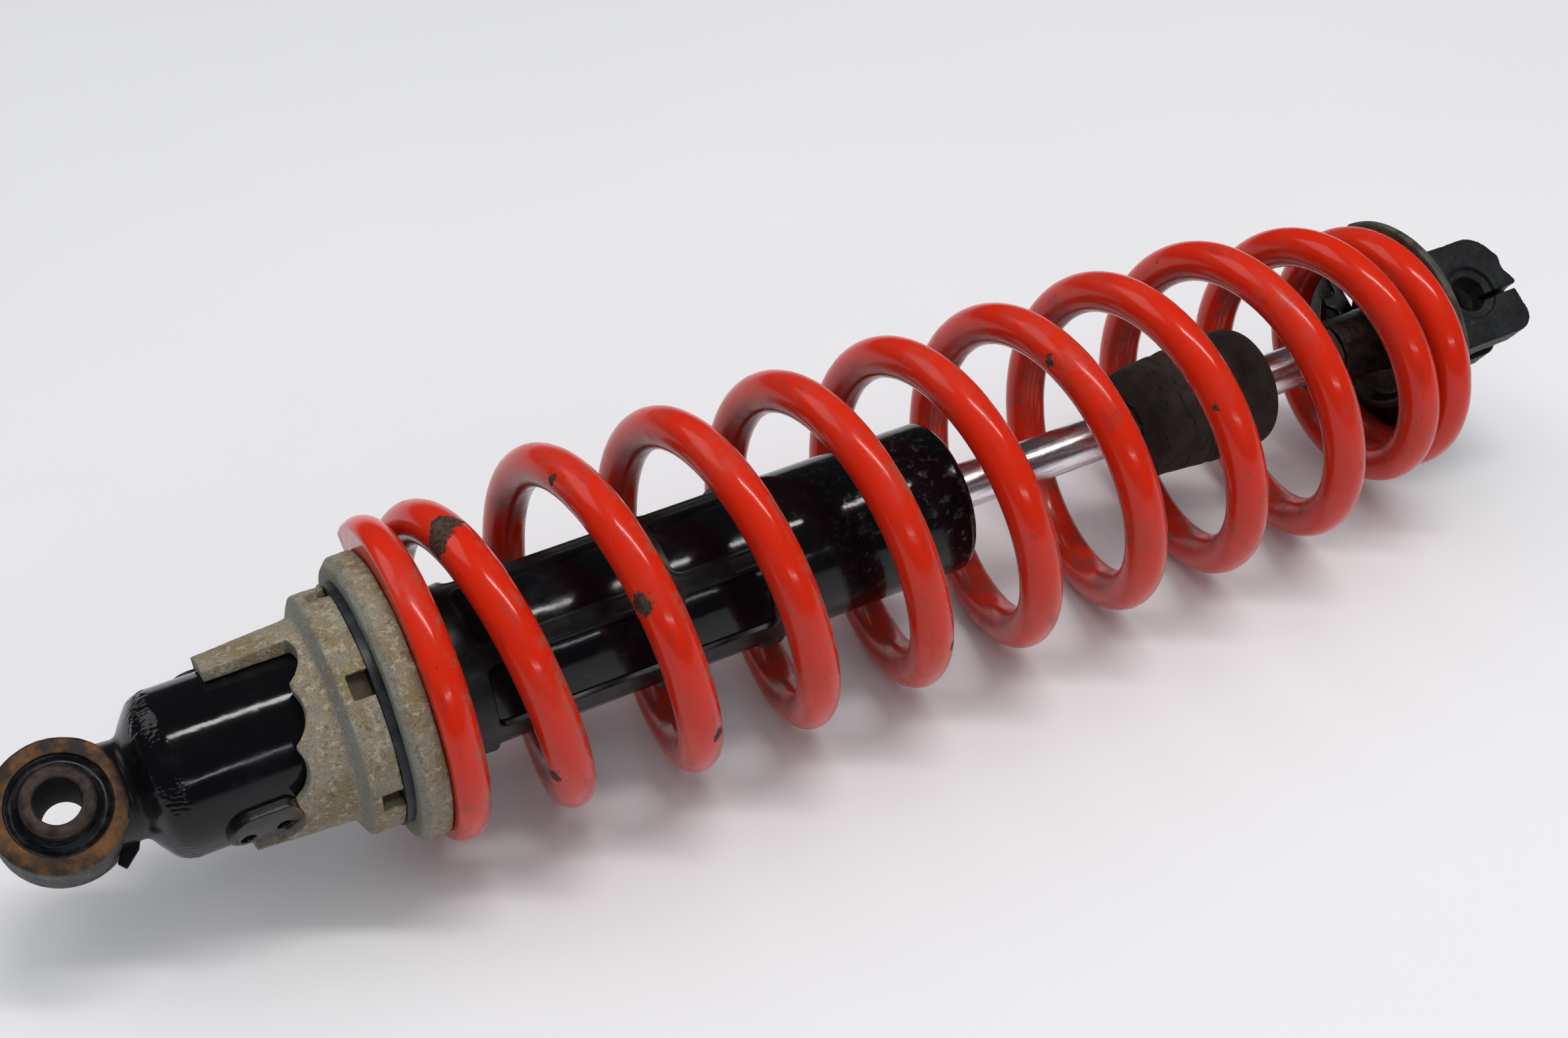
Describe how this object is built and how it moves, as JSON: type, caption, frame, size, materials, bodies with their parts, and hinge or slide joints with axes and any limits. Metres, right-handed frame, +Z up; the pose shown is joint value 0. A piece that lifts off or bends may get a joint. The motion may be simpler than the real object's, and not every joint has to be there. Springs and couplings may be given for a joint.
{
  "type": "coil-over rear shock absorber",
  "caption": "Coil-over damper with a bonded eye bush at one end, a forged clevis at the other, a red coil spring, a stepped preload cam and a rubber bump stop.",
  "frame": {"origin": "centre of the bolt bore in the eye bush", "axes": "+X along the damper axis from the eye to the clevis, +Z up with the shock lying on its side, +Y across; both bolt bores lie at 122 degrees about +X, counted from +Y towards +Z"},
  "size_m": [0.4291, 0.0914, 0.0916],
  "materials": {
    "eye_steel": "worn brown-orange rust on the faces, grey on the outer wall",
    "bush_rubber": "dusty black bonded rubber",
    "sleeve_steel": "dark brown-grey worn steel",
    "black_gloss_paint": "gloss black paint with light scuffs",
    "lug_steel": "black paint worn to rust at the cam end",
    "cast_alloy": "weathered sand-grey die casting, mottled",
    "slip_plastic": "satin black",
    "guide_plastic": "satin black moulded plastic",
    "red_powder_coat": "gloss red powder coat with brown chips",
    "chromed_steel": "polished hard chrome",
    "bump_rubber": "matte brown-black foam rubber",
    "seal_rubber": "black nitrile",
    "bare_steel": "bare hardened steel",
    "machined_alloy": "turned aluminium",
    "bearing_bronze": "sintered bronze",
    "dark_zinc_steel": "dark zinc plated, dirty",
    "forged_black_steel": "satin black paint on a rough forging",
    "retainer_steel": "olive-grey worn pressed steel"
  },
  "bodies": {
    "damper_body": {"eye_ring": "eye_steel", "eye_rubber_bush": "bush_rubber", "damper_end_cap": "black_gloss_paint", "gas_fill_screw": "bare_steel", "damper_tube": "black_gloss_paint", "cam_stop_lugs": "lug_steel", "seal_head": "machined_alloy", "seal_head_o_ring": "seal_rubber", "rod_guide_bush": "bearing_bronze", "rod_oil_seal": "seal_rubber", "seal_head_circlip": "bare_steel", "dust_wiper": "seal_rubber"},
    "bush_sleeve": {"eye_inner_sleeve": "sleeve_steel"},
    "gas_piston": {"floating_piston": "machined_alloy", "floating_piston_o_ring": "seal_rubber"},
    "seat_group": {"spring_seat": "cast_alloy", "slip_ring": "slip_plastic", "spring_guide_sleeve": "guide_plastic", "coil_spring": "red_powder_coat"},
    "cam": {"preload_cam": "cast_alloy"},
    "rod_group": {"damper_rod": "chromed_steel", "main_piston": "machined_alloy", "piston_band": "bearing_bronze", "compression_shims": "bare_steel", "rebound_shims": "bare_steel", "piston_nut": "bare_steel", "top_out_washer": "bare_steel", "top_out_bumper": "seal_rubber", "rod_lock_nut": "dark_zinc_steel", "clevis": "forged_black_steel", "spring_retainer": "retainer_steel"},
    "bump": {"bump_stop": "bump_rubber"}
  },
  "joints": [
    {"name": "rod_slide", "type": "slide", "parent": "damper_body", "child": "rod_group", "axis": [-1, 0, 0], "range_m": [0, 0.075], "stiffness_N_per_m": 32000, "springref_m": -0.008, "deforming": ["coil_spring"]},
    {"name": "bump_stop_slide", "type": "slide", "parent": "rod_group", "child": "bump", "axis": [1, 0, 0], "range_m": [0, 0.0173]},
    {"name": "gas_piston_slide", "type": "slide", "parent": "damper_body", "child": "gas_piston", "axis": [-1, 0, 0], "range_m": [0, 0.0089]},
    {"name": "seat_lift", "type": "slide", "parent": "damper_body", "child": "seat_group", "axis": [-1, 0, 0], "range_m": [0, 0.0093]},
    {"name": "preload_turn", "type": "hinge", "parent": "seat_group", "child": "cam", "pos_m": [0.065, 0, 0], "axis": [1, 0, 0], "range_deg": [0, 96.5]},
    {"name": "eye_bush_twist", "type": "hinge", "parent": "damper_body", "child": "bush_sleeve", "pos_m": [0, 0, 0], "axis": [0, -0.5299, 0.848], "range_deg": [-12, 12], "stiffness_Nm_per_rad": 12}
  ],
  "couplings": [
    {"joint": "bump_stop_slide", "follows": "rod_slide", "ratio": 0.22933},
    {"joint": "gas_piston_slide", "follows": "rod_slide", "ratio": 0.11755},
    {"joint": "preload_turn", "follows": "seat_lift", "rad_per_m": 180.16}
  ]
}
